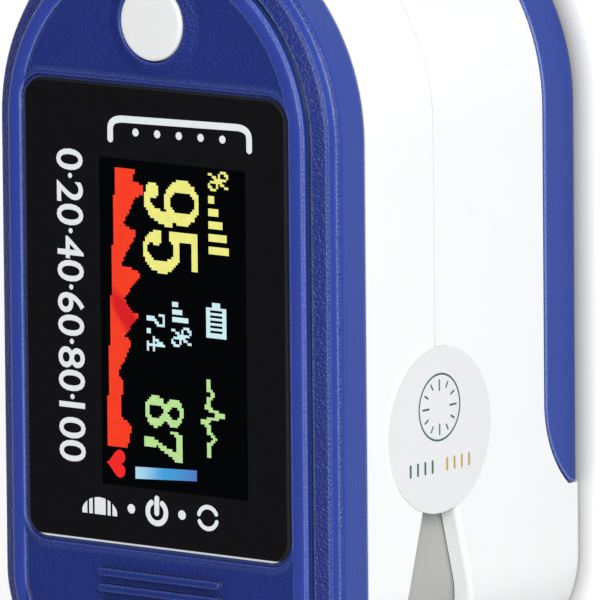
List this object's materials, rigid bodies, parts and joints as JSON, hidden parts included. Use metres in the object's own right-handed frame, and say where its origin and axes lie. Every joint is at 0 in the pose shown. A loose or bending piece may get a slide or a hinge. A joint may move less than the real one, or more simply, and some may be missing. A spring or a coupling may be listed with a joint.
{
  "type": "fingertip pulse oximeter",
  "caption": "Spring-jawed fingertip pulse oximeter with a front display window, round power button, pinch tabs and a sliding battery cover.",
  "frame": {"origin": "centre of the bounding box's bottom, on the back of the device, which lies on its back", "axes": "+Z out of the display, +Y towards the pinch tabs, -Y towards the finger mouth, -X the flank with the round label"},
  "size_m": [0.0321, 0.059, 0.0318],
  "materials": {
    "blue_plastic": "satin blue ABS with a fine spark texture",
    "white_shell": "smooth white ABS",
    "frame_plastic": "grey-white inner moulding",
    "window_black": "black-printed acrylic window",
    "display_glass": "display panel glass",
    "holder_black": "black tray",
    "board_green": "green circuit board",
    "chip_black": "epoxy package",
    "switch_metal": "switch can",
    "button_white": "white button cap",
    "pad_silicone": "soft white silicone",
    "lens_clear": "dark red window",
    "steel": "spring and pin steel",
    "screw_steel": "zinc-plated screws",
    "contact_nickel": "nickel-plated contact",
    "cell_sleeve": "printed cell sleeve",
    "label_paper": "smooth paper sticker"
  },
  "bodies": {
    "lower_half": {"lower_shell": "white_shell", "lower_frame": "frame_plastic", "lower_finger_pad": "pad_silicone", "lower_lens": "lens_clear", "sensor_board": "board_green", "photodiode": "chip_black", "lower_screws": "screw_steel", "hinge_pin": "steel", "torsion_spring_left": "steel", "torsion_spring_right": "steel", "battery_1": "cell_sleeve", "battery_2": "cell_sleeve", "positive_contact": "contact_nickel", "negative_contact": "contact_nickel", "link_contact": "contact_nickel", "front_contact_spring": "contact_nickel", "rear_contact_spring": "contact_nickel"},
    "upper_half": {"front_bezel": "blue_plastic", "display_window": "window_black", "display_module": "display_glass", "display_holder": "holder_black", "main_board": "board_green", "main_chip": "chip_black", "tact_switch": "switch_metal", "upper_shell": "white_shell", "upper_frame": "frame_plastic", "upper_finger_pad": "pad_silicone", "upper_lens": "lens_clear", "led_board": "board_green", "led_emitter": "chip_black", "upper_screws": "screw_steel", "round_label": "label_paper"},
    "button": {"power_button": "button_white"},
    "switch_key": {"switch_plunger": "holder_black"},
    "cover": {"battery_cover": "blue_plastic"}
  },
  "joints": [
    {"name": "jaw_hinge", "type": "hinge", "parent": "lower_half", "child": "upper_half", "pos_m": [0, 0.0092, 0.01785], "axis": [-1, 0, 0], "range_deg": [0, 28], "stiffness_Nm_per_rad": 0.06, "springref_deg": -40.11, "deforming": ["torsion_spring_left", "torsion_spring_right"]},
    {"name": "button_press", "type": "slide", "parent": "upper_half", "child": "button", "axis": [0, 0, -1], "range_m": [0, 0.0004], "stiffness_N_per_m": 600, "springref_m": -0.0006},
    {"name": "switch_travel", "type": "slide", "parent": "upper_half", "child": "switch_key", "axis": [0, 0, -1], "range_m": [0, 0.0004]},
    {"name": "cover_slide", "type": "slide", "parent": "lower_half", "child": "cover", "axis": [0, -1, 0], "range_m": [0, 0.024]}
  ],
  "couplings": [
    {"joint": "switch_travel", "follows": "button_press", "ratio": 1}
  ]
}
